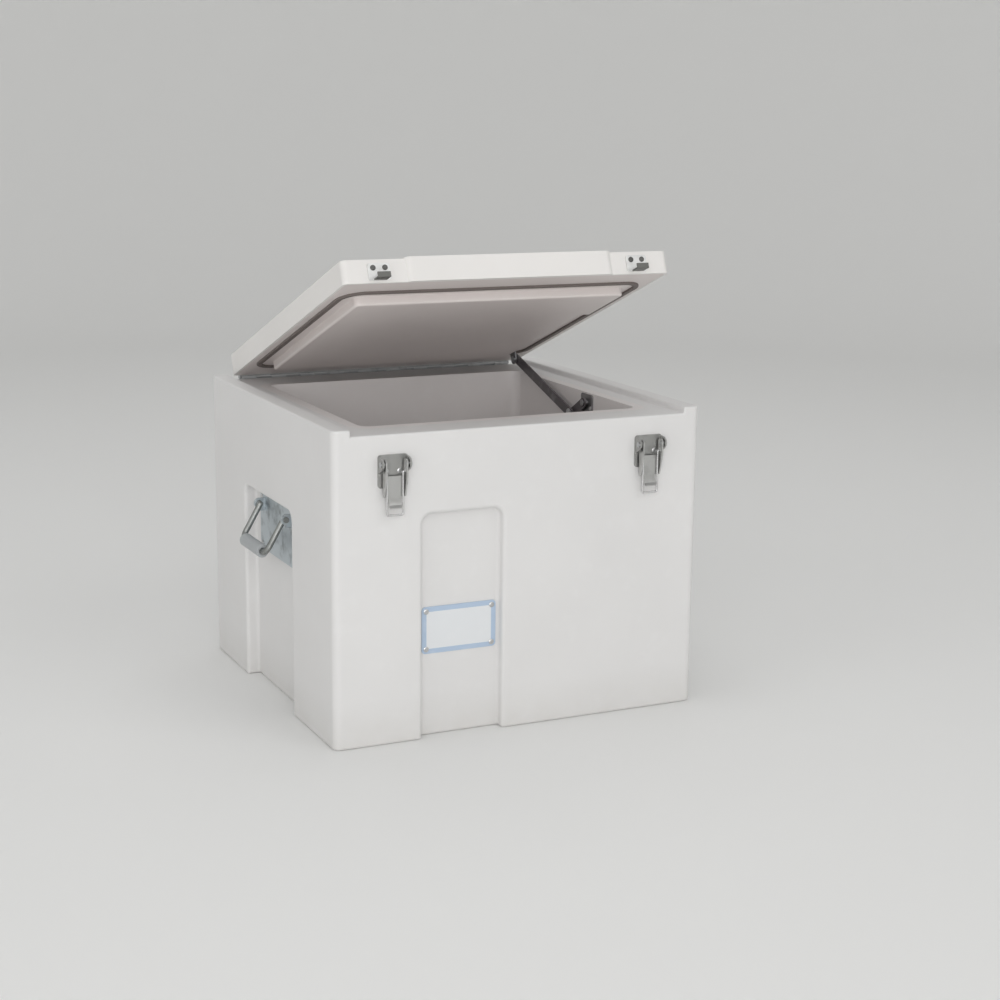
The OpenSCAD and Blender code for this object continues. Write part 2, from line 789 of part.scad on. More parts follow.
// stay pieces
module stay_wall_bracket() {
    boss_x = stay_x_lower + stay_t + stay_gap;
    head_x = stay_x_lower - 2 * stay_gap - stay_head_t;
    color([0.55, 0.56, 0.58]) {
        difference() {
            yz_plate(cavity_half - bracket_t, bracket_t) translate([stay_wall[0], stay_wall[1] - 1])
                polygon(round_rect(wall_plate[0], wall_plate[1], 4));
            stay_wall_places() rivet_hole(bracket_t + past);
        }
        x_rod(boss_x, cavity_half - bracket_t - boss_x, stay_wall[0], stay_wall[1], stay_boss_r);
        x_rod(head_x + stay_head_t, boss_x - head_x - stay_head_t, stay_wall[0], stay_wall[1], stay_pin_r);
        x_rod(head_x, stay_head_t, stay_wall[0], stay_wall[1], stay_boss_r);
    }
}

// places a bar drawn along +Y at a pivot, pointing to another point
module arm_at(x, from, to) {
    d = to - from;
    translate([x, from[0], from[1]]) rotate([atan2(d[1], d[0]), 0, 0]) children();
}

module stay_lower_arm() {
    color([0.36, 0.34, 0.36]) arm_at(stay_x_lower, stay_wall, elbow) difference() {
        yz_plate(0, stay_t) polygon(bar_outline(stay_lower_len, stay_w));
        x_rod(-past, stay_t + 2 * past, 0, 0, stay_pin_r + fit);
        x_rod(-past, stay_t + 2 * past, stay_lower_len, 0, stay_pin_r);
    }
}

module stay_elbow_pin() {
    head_x = stay_x_upper - stay_gap - stay_head_t;
    spacer_x = stay_x_upper + stay_t + stay_gap;
    color([0.70, 0.71, 0.73]) translate([0, elbow[0], elbow[1]]) {
        x_rod(head_x, stay_head_t, 0, 0, elbow_head_r);
        x_rod(head_x + stay_head_t, spacer_x - head_x - stay_head_t, 0, 0, stay_pin_r);
        x_rod(spacer_x, stay_x_lower - spacer_x, 0, 0, stay_boss_r);
        x_rod(stay_x_lower, stay_t, 0, 0, stay_pin_r);
        x_rod(stay_x_lower + stay_t, stay_head_t, 0, 0, stay_boss_r);
    }
}

module stay_upper_arm() {
    slot_w = 2 * (stay_pin_r + elbow_play_wide);
    slot_y = stay_upper_len + slot_shift;
    color([0.36, 0.34, 0.36]) arm_at(stay_x_upper, stay_lid, elbow) difference() {
        yz_plate(0, stay_t) polygon(bar_outline(stay_upper_len + 3, stay_w));
        x_rod(-past, stay_t + 2 * past, 0, 0, stay_pin_r + fit);
        for (s = [-1, 1])
            x_rod(-past, stay_t + 2 * past, slot_y + s * elbow_play_long, 0, slot_w / 2);
        translate([-past, slot_y - elbow_play_long, -slot_w / 2])
            cube([stay_t + 2 * past, 2 * elbow_play_long, slot_w]);
    }
}

module stay_lid_bracket() {
    ear = stay_lid_closed;
    color([0.55, 0.56, 0.58]) open_lid() difference() {
        union() {
            translate([stay_x_ear, ear[0] - lid_foot[1] / 2, lid_z - bracket_t])
                cube([lid_foot[0], lid_foot[1], bracket_t]);
            yz_plate(stay_x_ear, ear_t) translate([ear[0], ear[1]]) rotate(90)
                polygon(bar_outline(lid_z - ear[1] - ear_w / 2 - past, ear_w));
            translate([stay_x_ear, ear[0] - ear_w / 2, lid_z - ear_w / 2 - bracket_t])
                cube([ear_t, ear_w, ear_w / 2 + past]);
        }
        x_rod(stay_x_ear - past, ear_t + 2 * past, ear[0], ear[1], stay_pin_r);
        stay_lid_places() rivet_hole(bracket_t + past);
    }
}

module stay_lid_pin() {
    ear = stay_lid_closed;
    head_x = stay_x_upper + stay_t + stay_gap;
    color([0.70, 0.71, 0.73]) open_lid() {
        x_rod(stay_x_ear, head_x - stay_x_ear, ear[0], ear[1], stay_pin_r);
        x_rod(head_x, lid_pin_head_t, ear[0], ear[1], stay_boss_r);
        x_rod(stay_x_ear - lid_pin_head_t, lid_pin_head_t, ear[0], ear[1], stay_boss_r);
    }
}

module stay_wall_screws() {
    color([0.75, 0.76, 0.78]) stay_wall_places() rivet(bracket_t + liner_t);
}

module stay_lid_screws() {
    color([0.75, 0.76, 0.78]) open_lid() stay_lid_places() rivet(bracket_t + liner_t);
}

outer_shell();
inner_liner();
foam_core();
label_plate();
label_rivets();
hinge_body_leaf();
hinge_pin();
hinge_body_rivets();
hinge_lid_leaf();
hinge_lid_rivets();
lid_shell();
lid_liner();
lid_foam();
lid_seal();
keeper(-1);  // keeper_left
keeper(1);  // keeper_right
keeper_rivets();
latch_base(-1);  // latch_left_base
latch_lever(-1);  // latch_left_lever
latch_loop(-1);  // latch_left_loop
latch_base(1);  // latch_right_base
latch_lever(1);  // latch_right_lever
latch_loop(1);  // latch_right_loop
latch_pins();
latch_rivets();
handle_plate(-1);  // handle_left_plate
handle_bail(-1);  // handle_left_bail
handle_grip(-1);  // handle_left_grip
handle_plate(1);  // handle_right_plate
handle_bail(1);  // handle_right_bail
handle_grip(1);  // handle_right_grip
handle_rivets();
stay_wall_bracket();
stay_lower_arm();
stay_elbow_pin();
stay_upper_arm();
stay_lid_bracket();
stay_lid_pin();
stay_wall_screws();
stay_lid_screws();
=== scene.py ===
# Looks of the insulated transport box: moulded plastic skins, steel fittings, rubber seal.
# Metres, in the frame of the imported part. The lid is shaped closed and then turned open, as it is stored.
import json
import math

import bmesh
import bpy
import numpy as np
from mathutils import Matrix, Vector


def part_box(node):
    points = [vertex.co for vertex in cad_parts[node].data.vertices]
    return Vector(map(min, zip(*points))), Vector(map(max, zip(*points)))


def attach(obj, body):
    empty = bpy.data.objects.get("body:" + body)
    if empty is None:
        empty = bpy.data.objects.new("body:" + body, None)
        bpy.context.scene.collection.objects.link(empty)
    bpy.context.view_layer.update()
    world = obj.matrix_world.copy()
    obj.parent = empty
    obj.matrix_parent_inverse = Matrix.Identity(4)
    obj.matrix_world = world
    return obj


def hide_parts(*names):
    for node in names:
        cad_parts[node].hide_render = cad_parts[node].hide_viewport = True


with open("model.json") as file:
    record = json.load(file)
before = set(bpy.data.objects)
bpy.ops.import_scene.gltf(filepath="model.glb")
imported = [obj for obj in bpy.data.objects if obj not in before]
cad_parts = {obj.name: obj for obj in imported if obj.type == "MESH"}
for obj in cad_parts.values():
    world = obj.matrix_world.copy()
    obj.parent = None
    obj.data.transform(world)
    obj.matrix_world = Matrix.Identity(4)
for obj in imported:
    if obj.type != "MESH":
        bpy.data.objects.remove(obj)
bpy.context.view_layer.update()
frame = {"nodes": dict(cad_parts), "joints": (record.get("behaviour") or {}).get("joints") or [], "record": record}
scene = bpy.context.scene
slotOf = {part["node"]: part["material_slot"] for part in frame["record"]["subparts"]}
bodyOf = {node: body for body, nodes in frame["record"]["behaviour"]["bodies"].items() for node in nodes}
lidJoint = next(joint for joint in frame["joints"] if joint["child"] == "lid")
near = 0.001  # a point this close to a face counts as on it
past = 0.010  # how far a cutter reaches past the face that it cuts
dressed = []  # pairs of a shaped piece and its material slot
print("frame loaded")


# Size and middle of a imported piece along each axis, to 0.1 mm.
def placeOf(node):
    low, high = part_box(node)
    size = [round(b - a, 4) for a, b in zip(low, high)]
    middle = [round((a + b) / 2, 4) for a, b in zip(low, high)]
    return size, middle


# Meshes

# Corner points: centre of each corner plus r times (cos a, sin a), over a quarter turn each.
def roundRect(w, d, r, steps=14):
    a = np.linspace(0, math.pi / 2, steps + 1)
    signs = np.array([(1, 1), (-1, 1), (-1, -1), (1, -1)], float)
    turns = np.arange(4)[:, None] * math.pi / 2 + a[None, :]
    centres = signs * (w / 2 - r, d / 2 - r)
    points = centres[:, None, :] + r * np.stack([np.cos(turns), np.sin(turns)], -1)
    return points.reshape(-1, 2)


def addMesh(name, verts, faces):
    mesh = bpy.data.meshes.new(name)
    mesh.from_pydata([tuple(v) for v in verts], [], [list(f) for f in faces])
    mesh.update()
    obj = bpy.data.objects.new(name, mesh)
    scene.collection.objects.link(obj)
    return obj


# An outline in the two axes other than `axis`, carried from lo to hi along it.
def prism(name, outline, lo, hi, axis="z"):
    n = len(outline)
    order = {"z": (0, 1, 2), "y": (0, 2, 1), "x": (2, 0, 1)}[axis]
    ends = [np.column_stack([outline, np.full(n, level)]) for level in (lo, hi)]
    verts = np.concatenate(ends)[:, order]
    k = np.arange(n)
    following = (k + 1) % n
    walls = np.column_stack([k, following, following + n, k + n]).tolist()
    obj = addMesh(name, verts, [list(k[::-1]), list(k + n)] + walls)
    bm = bmesh.new()
    bm.from_mesh(obj.data)
    bmesh.ops.recalc_face_normals(bm, faces=bm.faces)
    bm.to_mesh(obj.data)
    bm.free()
    return obj


# A plain block from the lower to the upper value along each axis.
def block(x, y, z, name="block"):
    outline = np.array([(x[0], y[0]), (x[1], y[0]), (x[1], y[1]), (x[0], y[1])], float)
    return prism(name, outline, *z)


def apply(obj, modifier):
    with bpy.context.temp_override(object=obj, active_object=obj, selected_objects=[obj]):
        bpy.ops.object.modifier_apply(modifier=modifier.name)


def boolean(obj, other, operation="DIFFERENCE"):
    modifier = obj.modifiers.new("cut", "BOOLEAN")
    modifier.operation, modifier.solver, modifier.object = operation, "EXACT", other
    apply(obj, modifier)
    bpy.data.objects.remove(other)


softening = {"weld": 2e-6, "flatAngle": 0.3, "sharpAngle": 28.0, "normalWeight": 60}


# Bevel weight of a sharp edge = widthAt(middle of the edge) / the largest width.
def softEdges(obj, widthAt, segments=4):
    s = softening
    bm = bmesh.new()
    bm.from_mesh(obj.data)
    bmesh.ops.remove_doubles(bm, verts=bm.verts, dist=s["weld"])
    bmesh.ops.dissolve_limit(bm, angle_limit=math.radians(s["flatAngle"]), verts=bm.verts, edges=bm.edges)
    layer = bm.edges.layers.float.new("bevel_weight_edge")
    widths = {}
    for e in bm.edges:
        if len(e.link_faces) == 2 and e.calc_face_angle(0) > math.radians(s["sharpAngle"]):
            widths[e] = widthAt((e.verts[0].co + e.verts[1].co) / 2)
    largest = max(widths.values())
    for e, w in widths.items():
        e[layer] = w / largest
    bm.to_mesh(obj.data)
    bm.free()
    bevel = obj.modifiers.new("soft edges", "BEVEL")
    bevel.limit_method, bevel.width, bevel.segments = "WEIGHT", largest, segments
    bevel.use_clamp_overlap, bevel.harden_normals = True, True
    obj.data.polygons.foreach_set("use_smooth", np.ones(len(obj.data.polygons), bool))
    apply(obj, bevel)
    normals = obj.modifiers.new("normals", "WEIGHTED_NORMAL")
    normals.keep_sharp, normals.weight = True, s["normalWeight"]
    apply(obj, normals)


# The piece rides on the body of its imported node, stands for it and takes its material slot.
def register(obj, node):
    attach(obj, bodyOf[node])
    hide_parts(node)
    dressed.append((obj, slotOf[node]))


# Box: outer skin with channels, deck and side lips

boxSize = placeOf("outer_shell")[0]
box = {
    "w": boxSize[0], "d": boxSize[1], "h": boxSize[2], "corner": 0.010, "lipW": 0.024, "seatZ": 0.402,
    "edge": 0.0035, "footEdge": 0.0035, "lipEdge": 0.0025, "channelEdge": 0.0045, "coveredEdge": 0.0004,
}
cavity = {
    "w": 0.396, "d": 0.368, "y": placeOf("inner_liner")[1][1], "floor": 0.060, "corner": 0.014, "wall": 0.003,
    "flangeW": 0.012, "flangeT": 0.003, "mouthEdge": 0.0028, "floorEdge": 0.012, "coveredEdge": 0.0005,
}


# The cavity's outline, wider by grow on each side, about its own middle.
def cavityOutline(grow):
    c = cavity
    return roundRect(c["w"] + 2 * grow, c["d"] + 2 * grow, c["corner"] + grow) + (0, c["y"])


channels = {
    "frontX": placeOf("label_plate")[1][0], "frontW": 0.113, "frontTop": 0.297, "frontDepth": 0.014,
    "sideY": placeOf("handle_left_plate")[1][1], "sideW": 0.196, "sideTop": 0.277, "sideDepth": 0.018,
    "corner": 0.014,
}


# One cutter for the front channel and one for each side channel, open at the foot of the box.
def channelCutters():
    c = channels
    tall = c["frontTop"] + past + c["corner"]
    outline = roundRect(c["frontW"], tall, c["corner"]) + (c["frontX"], c["frontTop"] - tall / 2)
    cutters = [prism("cutFront", outline, -box["d"] / 2 - past, -box["d"] / 2 + c["frontDepth"], "y")]
    tall = c["sideTop"] + past + c["corner"]
    outline = roundRect(c["sideW"], tall, c["corner"]) + (c["sideY"], c["sideTop"] - tall / 2)
    for side in (-1, 1):
        ends = side * (box["w"] / 2 + past), side * (box["w"] / 2 - c["sideDepth"])
        cutters.append(prism("cutSide", outline, min(ends), max(ends), "x"))
    return cutters


# The skin: a block with channels, a lowered seat between the side lips, a rebate and a well for the tub.
def makeShell():
    b, c = box, cavity
    skin = prism("outerSkin", roundRect(b["w"], b["d"], b["corner"]), 0.0, b["h"])
    for cutter in channelCutters():
        boolean(skin, cutter)
    half = b["w"] / 2 - b["lipW"]
    boolean(skin, block((-half, half), (-b["d"], b["d"]), (b["seatZ"], b["h"] + past)))
    rebate = c["wall"] + c["flangeW"]
    boolean(skin, prism("rebate", cavityOutline(rebate), b["seatZ"] - c["flangeT"], b["h"]))
    boolean(skin, prism("well", cavityOutline(c["wall"]), c["floor"] - c["wall"], b["h"]))

    def width(p):
        if abs(p.x) < c["w"] / 2 + rebate + near and abs(p.y - c["y"]) < c["d"] / 2 + rebate + near:
            return b["coveredEdge"]
        if p.z < near:
            return b["footEdge"]
        if p.z > b["seatZ"] - near:
            return b["lipEdge"]
        behindSide = abs(p.x) > b["w"] / 2 - channels["sideDepth"] - near
        inSide = behindSide and abs(p.y - channels["sideY"]) < channels["sideW"] / 2 + near
        inFront = p.y < channels["frontDepth"] - b["d"] / 2 + near
        return b["channelEdge"] if inSide or inFront else b["edge"]

    softEdges(skin, width)
    register(skin, "outer_shell")


# The tub: a flange in the rebate, walls and floor, with soft edges at its mouth and floor.
def makeLiner():
    c, seatZ = cavity, box["seatZ"]
    liner = prism("innerLiner", cavityOutline(c["wall"] + c["flangeW"]), seatZ - c["flangeT"], seatZ)
    boolean(liner, prism("tub", cavityOutline(c["wall"]), c["floor"] - c["wall"], seatZ), "UNION")
    boolean(liner, prism("inside", cavityOutline(0), c["floor"], seatZ + past))

    def width(p):
        onInner = abs(p.x) < c["w"] / 2 + near and abs(p.y - c["y"]) < c["d"] / 2 + near
        if onInner and p.z > seatZ - near:
            return c["mouthEdge"]
        if onInner and abs(p.z - c["floor"]) < near:
            return c["floorEdge"]
        return c["coveredEdge"]

    softEdges(liner, width, segments=6)
    register(liner, "inner_liner")


makeShell()
makeLiner()
print("box skins made")

# Lid: skin with a raised middle panel, underside pan with its plug, seal ring

hinge = {"y": lidJoint["pos_m"][1], "z": lidJoint["pos_m"][2], "open": -lidJoint["range_deg"][0]}


# Turn about the hinge axis by the open angle: the closed piece goes to its stored place.
def openLid(obj):
    turn = Matrix.Rotation(-math.radians(hinge["open"]), 4, "X")
    pivot = Matrix.Translation((0, hinge["y"], hinge["z"]))
    obj.data.transform(pivot @ turn @ pivot.inverted())


lid = {
    "w": 0.458, "front": -0.245, "back": 0.250, "z": 0.405, "h": 0.030, "corner": 0.008, "skin": 0.0035,
    "panelW": 0.292, "panelRise": 0.0015, "panelProud": 0.004, "panelCorner": 0.010,
    "edge": 0.0035, "rimEdge": 0.0015, "panelEdge": 0.0010,
}


# The lid's outline, smaller by inset on each side.
def lidOutline(inset):
    w, d = lid["w"] - 2 * inset, lid["back"] - lid["front"] - 2 * inset
    return roundRect(w, d, lid["corner"] - inset) + (0, (lid["back"] + lid["front"]) / 2)


# The skin is open below. The panel stands a little above it and in front of it.
def makeLid():
    z, top = lid["z"], lid["z"] + lid["h"]
    skin = prism("lidSkin", lidOutline(0), z, top)
    panelD = lid["back"] - lid["front"] + lid["panelProud"]
    panelY = (lid["back"] + lid["front"] - lid["panelProud"]) / 2
    panel = roundRect(lid["panelW"], panelD, lid["panelCorner"]) + (0, panelY)
    boolean(skin, prism("panel", panel, z, top + lid["panelRise"]), "UNION")
    boolean(skin, prism("hollow", lidOutline(lid["skin"]), z - past, top - lid["skin"]))

    def width(p):
        if p.z < z + near:
            return lid["rimEdge"]
        besidePanel = abs(p.x) > lid["panelW"] / 2 + 4 * near
        return lid["edge"] if p.z > top - near and besidePanel else lid["panelEdge"]

    softEdges(skin, width)
    openLid(skin)
    register(skin, "lid_shell")


plug = {
    "gap": 0.006, "h": 0.012, "edge": 0.0030, "notchX": 0.174, "notchY": -0.078, "panT": 0.003,
    "panEdge": 0.0015,
}


# The pan closes the lid from below. Its plug has a notch on the right for the folded stay.
def makePan():
    z, c = lid["z"], cavity
    pan = prism("lidPan", lidOutline(lid["skin"]), z, z + plug["panT"])
    lo, hi = z - plug["h"], z + plug["panT"] / 2
    body = prism("plug", cavityOutline(-plug["gap"]), lo, hi)
    boolean(body, block((plug["notchX"], c["w"]), (plug["notchY"], c["d"]), (lo - past, hi + past)))
    boolean(pan, body, "UNION")
    softEdges(pan, lambda p: plug["edge"] if p.z < lo + near else plug["panEdge"], segments=5)
    openLid(pan)
    register(pan, "lid_liner")


seal = {"inset": 0.010, "w": 0.008, "t": 0.0027, "edge": 0.0012, "coveredEdge": 0.0001}


# A flat ring round the plug.
def makeSeal():
    z = lid["z"]
    ring = prism("sealRing", cavityOutline(seal["inset"] + seal["w"]), z - seal["t"], z)
    boolean(ring, prism("sealHole", cavityOutline(seal["inset"]), z - past, z + past))
    softEdges(ring, lambda p: seal["edge"] if p.z < z - near else seal["coveredEdge"])
    openLid(ring)
    register(ring, "lid_seal")


makeLid()
makePan()
makeSeal()
print("lid made")

# Fittings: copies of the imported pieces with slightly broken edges

sides = ("left", "right")
edgeOf = {f"latch_{side}_{piece}": 0.0004 for piece in ("lever", "base") for side in sides}
edgeOf |= {f"keeper_{side}": 0.0004 for side in sides}
edgeOf |= {f"handle_{side}_plate": 0.0005 for side in sides}
edgeOf |= {f"hinge_{leaf}_leaf": 0.0004 for leaf in ("body", "lid")}
edgeOf |= {f"stay_{arm}_arm": 0.0004 for arm in ("upper", "lower")}
edgeOf |= {f"stay_{place}_bracket": 0.0003 for place in ("wall", "lid")}
edgeOf |= {f"handle_{side}_grip": 0.0018 for side in sides}
edgeOf["label_plate"] = 0.0004


# width: the width of the broken edges.
def makeFitting(node, width):
    piece = bpy.data.objects.new(node + "_finished", frame["nodes"][node].data.copy())
    scene.collection.objects.link(piece)
    softEdges(piece, lambda p: width, segments=2)
    register(piece, node)


for node, width in edgeOf.items():
    makeFitting(node, width)
print("fittings made")


# Shader groups

def newGroup(name, inputs, outputs):
    group = bpy.data.node_groups.new(name, "ShaderNodeTree")
    for label, kind, value in inputs:
        group.interface.new_socket(name=label, in_out="INPUT", socket_type=kind).default_value = value
    for label, kind in outputs:
        group.interface.new_socket(name=label, in_out="OUTPUT", socket_type=kind)
    return group, group.nodes.new("NodeGroupInput"), group.nodes.new("NodeGroupOutput")


# A noise texture on Object coordinates.
def noiseNode(tree, where, **values):
    noise = tree.nodes.new("ShaderNodeTexNoise")
    for key, value in values.items():
        noise.inputs[key].default_value = value
    tree.links.new(where, noise.inputs["Vector"])
    return noise


def mathNode(tree, operation, a, b=None, clamp=False):
    node = tree.nodes.new("ShaderNodeMath")
    node.operation, node.use_clamp = operation, clamp
    for k, value in enumerate((a, b)):
        if isinstance(value, (int, float)):
            node.inputs[k].default_value = value
        elif value is not None:
            tree.links.new(value, node.inputs[k])
    return node.outputs[0]


# factor, a and b are sockets or, for a and b, plain colours.
def mixColor(tree, factor, a, b):
    mix = tree.nodes.new("ShaderNodeMix")
    mix.data_type = "RGBA"
    tree.links.new(factor, mix.inputs["Factor"])
    for key, value in (("A", a), ("B", b)):
        if isinstance(value, tuple):
            mix.inputs[key].default_value = (*value, 1)
        else:
            tree.links.new(value, mix.inputs[key])
    return mix.outputs["Result"]


# Height goes through a bump node, on top of the normal below it if there is one.
def bumpNode(tree, height, distance, strength, below=None):
    bump = tree.nodes.new("ShaderNodeBump")
    bump.inputs["Distance"].default_value = distance
    tree.links.new(height, bump.inputs["Height"])
    if isinstance(strength, float):
        bump.inputs["Strength"].default_value = strength
    else:
        tree.links.new(strength, bump.inputs["Strength"])
    if below is not None:
        tree.links.new(below, bump.inputs["Normal"])
    return bump.outputs["Normal"]


def scaleValue(tree, color, value):
    tint = tree.nodes.new("ShaderNodeHueSaturation")
    tree.links.new(color, tint.inputs["Color"])
    tree.links.new(value, tint.inputs["Value"])
    return tint.outputs["Color"]


grainLook = {
    "slowScale": 7.0, "midScale": 42.0, "patchFrom": 0.56, "patchGain": 6.0, "rubbedColor": (0.9, 0.9, 0.9),
    "rippleHeight": 0.002, "grainHeight": 0.0003,
}


# Moulded surface: fine grain as bump, slow shade variation, roughness variation, rubbed patches.
def surfaceGroup():
    look = grainLook
    g, src, out = newGroup(
        "surfaceGrain",
        [("Color", "NodeSocketColor", (0.8, 0.8, 0.8, 1)), ("Shade", "NodeSocketFloat", 0.05),
         ("Grain", "NodeSocketFloat", 900.0), ("Depth", "NodeSocketFloat", 0.1),
         ("Ripple", "NodeSocketFloat", 0.15), ("Roughness", "NodeSocketFloat", 0.45),
         ("Spread", "NodeSocketFloat", 0.12), ("Rubbed", "NodeSocketFloat", 0.1)],
        [("Color", "NodeSocketColor"), ("Roughness", "NodeSocketFloat"), ("Normal", "NodeSocketVector")])
    link = g.links.new
    where = g.nodes.new("ShaderNodeTexCoord").outputs["Object"]
    slow = noiseNode(g, where, Scale=look["slowScale"], Detail=3.0).outputs["Fac"]
    mid = noiseNode(g, where, Scale=look["midScale"], Detail=4.0).outputs["Fac"]
    fine = noiseNode(g, where, Detail=2.0)
    link(src.outputs["Grain"], fine.inputs["Scale"])
    drift = mathNode(g, "MULTIPLY", mathNode(g, "SUBTRACT", slow, 0.5), src.outputs["Shade"])
    shaded = scaleValue(g, src.outputs["Color"], mathNode(g, "ADD", mathNode(g, "MULTIPLY", drift, 2.0), 1.0))
    above = mathNode(g, "SUBTRACT", mid, look["patchFrom"], clamp=True)
    patches = mathNode(g, "MULTIPLY", above, look["patchGain"], clamp=True)
    rubbed = mathNode(g, "MULTIPLY", patches, src.outputs["Rubbed"])
    link(mixColor(g, rubbed, shaded, look["rubbedColor"]), out.inputs["Color"])
    wave = mathNode(g, "MULTIPLY", mathNode(g, "SUBTRACT", mid, 0.5), src.outputs["Spread"])
    rough = mathNode(g, "ADD", mathNode(g, "ADD", src.outputs["Roughness"], wave), rubbed, clamp=True)
    link(rough, out.inputs["Roughness"])
    ripple = bumpNode(g, mid, look["rippleHeight"], src.outputs["Ripple"])
    grained = bumpNode(g, fine.outputs["Fac"], look["grainHeight"], src.outputs["Depth"], ripple)
    link(grained, out.inputs["Normal"])
    return g


grimeLook = {"scale": 28.0, "color": (0.45, 0.42, 0.36, 1), "height": 0.06}


# Handling dirt: settles near the foot of the box, from z = 0 up to Height, broken up by noise.
def grimeGroup():
    g, src, out = newGroup(
        "footGrime",
        [("Color", "NodeSocketColor", (0.8, 0.8, 0.8, 1)), ("Dirt", "NodeSocketColor", grimeLook["color"]),
         ("Height", "NodeSocketFloat", grimeLook["height"]), ("Amount", "NodeSocketFloat", 0.25)],
        [("Color", "NodeSocketColor")])
    where = g.nodes.new("ShaderNodeTexCoord").outputs["Object"]
    split = g.nodes.new("ShaderNodeSeparateXYZ")
    g.links.new(where, split.inputs[0])
    noise = noiseNode(g, where, Scale=grimeLook["scale"], Detail=5.0).outputs["Fac"]
    rise = mathNode(g, "DIVIDE", split.outputs["Z"], src.outputs["Height"])
    low = mathNode(g, "SUBTRACT", 1.0, rise, clamp=True)
    amount = mathNode(g, "MULTIPLY", mathNode(g, "MULTIPLY", low, noise), src.outputs["Amount"], clamp=True)
    g.links.new(mixColor(g, amount, src.outputs["Color"], src.outputs["Dirt"]), out.inputs["Color"])
    return g


sheetLook = {
    "stainScale": 60.0, "stainFrom": 0.52, "stainGain": 4.0, "streakHeight": 0.0001, "streakBump": 0.25,
    "stretch": (40.0, 900.0, 900.0),
}


# Rolled sheet: streaks stretched along one axis, faint stains that are darker and rougher.
def metalGroup():
    look = sheetLook
    g, src, out = newGroup(
        "sheetMetal",
        [("Color", "NodeSocketColor", (0.6, 0.6, 0.6, 1)), ("Stretch", "NodeSocketVector", look["stretch"]),
         ("Roughness", "NodeSocketFloat", 0.38), ("Streak", "NodeSocketFloat", 0.12),
         ("Stain", "NodeSocketFloat", 0.25)],
        [("Color", "NodeSocketColor"), ("Roughness", "NodeSocketFloat"), ("Normal", "NodeSocketVector")])
    link = g.links.new
    where = g.nodes.new("ShaderNodeTexCoord").outputs["Object"]
    stretch = g.nodes.new("ShaderNodeVectorMath")
    stretch.operation = "MULTIPLY"
    link(where, stretch.inputs[0])
    link(src.outputs["Stretch"], stretch.inputs[1])
    streaks = noiseNode(g, stretch.outputs[0], Scale=1.0, Detail=3.0).outputs["Fac"]
    stain = noiseNode(g, where, Scale=look["stainScale"], Detail=5.0).outputs["Fac"]
    above = mathNode(g, "SUBTRACT", stain, look["stainFrom"], clamp=True)
    spots = mathNode(g, "MULTIPLY", above, src.outputs["Stain"])
    value = mathNode(g, "SUBTRACT", 1.0, mathNode(g, "MULTIPLY", spots, look["stainGain"]))
    link(scaleValue(g, src.outputs["Color"], value), out.inputs["Color"])
    wave = mathNode(g, "MULTIPLY", mathNode(g, "SUBTRACT", streaks, 0.5), src.outputs["Streak"])
    rough = mathNode(g, "ADD", mathNode(g, "ADD", src.outputs["Roughness"], wave), spots, clamp=True)
    link(rough, out.inputs["Roughness"])
    link(bumpNode(g, streaks, look["streakHeight"], look["streakBump"]), out.inputs["Normal"])
    return g


grain = surfaceGroup()
grime = grimeGroup()
sheet = metalGroup()


# Materials

def newMaterial(name, color):
    material = bpy.data.materials.new(name)
    material.use_nodes = True
    material.diffuse_color = (*color, 1)
    return material, material.node_tree, material.node_tree.nodes["Principled BSDF"]


def useGroup(tree, group, **values):
    node = tree.nodes.new("ShaderNodeGroup")
    node.node_tree = group
    for key, value in values.items():
        node.inputs[key].default_value = value
    return node


# The group's colour, roughness and normal feed the shader; a colour from elsewhere replaces the group's own.
def feed(tree, bsdf, group, color=None):
    links = {"Base Color": color or group.outputs["Color"]}
    links |= {key: group.outputs[key] for key in ("Roughness", "Normal")}
    for key, socket in links.items():
        tree.links.new(socket, bsdf.inputs[key])


def plastic(name, color, coat=0.0, dirty=0.0, **values):
    material, tree, bsdf = newMaterial(name, color)
    surface = useGroup(tree, grain, Color=(*color, 1), **values)
    last = surface.outputs["Color"]
    if dirty:
        dirt = useGroup(tree, grime, Amount=dirty)
        tree.links.new(last, dirt.inputs["Color"])
        last = dirt.outputs["Color"]
    feed(tree, bsdf, surface, last)
    bsdf.inputs["Coat Weight"].default_value = coat
    return material


def metal(name, color, **values):
    material, tree, bsdf = newMaterial(name, color)
    bsdf.inputs["Metallic"].default_value = 1.0
    feed(tree, bsdf, useGroup(tree, sheet, Color=(*color, 1), **values))
    return material


label = {"borderColor": (0.46, 0.57, 0.72), "fieldColor": (0.78, 0.80, 0.82), "border": 0.0065}


# A blank plate with a plain border. The field is where both distances from the middle are under half of
# the field's size.
def blankLabel(name):
    material, tree, bsdf = newMaterial(name, label["borderColor"])
    split = tree.nodes.new("ShaderNodeSeparateXYZ")
    tree.links.new(tree.nodes.new("ShaderNodeTexCoord").outputs["Object"], split.inputs[0])
    size, middle = placeOf("label_plate")
    inside = []
    for k, axis in ((0, "X"), (2, "Z")):
        off = mathNode(tree, "ABSOLUTE", mathNode(tree, "SUBTRACT", split.outputs[axis], middle[k]))
        inside.append(mathNode(tree, "LESS_THAN", off, size[k] / 2 - label["border"]))
    onField = mathNode(tree, "MULTIPLY", *inside)
    twoTone = mixColor(tree, onField, label["borderColor"], label["fieldColor"])
    surface = useGroup(tree, grain, Roughness=0.34, Depth=0.03, Ripple=0.03, Shade=0.05, Rubbed=0.12)
    tree.links.new(twoTone, surface.inputs["Color"])
    feed(tree, bsdf, surface)
    return material


# plate: how far in front of the lid the keeper's flat face ends. The hook's dark colour is painted shade.
keeper = {"color": (0.78, 0.78, 0.77), "hookShadeColor": (0.16, 0.16, 0.15), "plate": 0.0028, "metallic": 0.6}
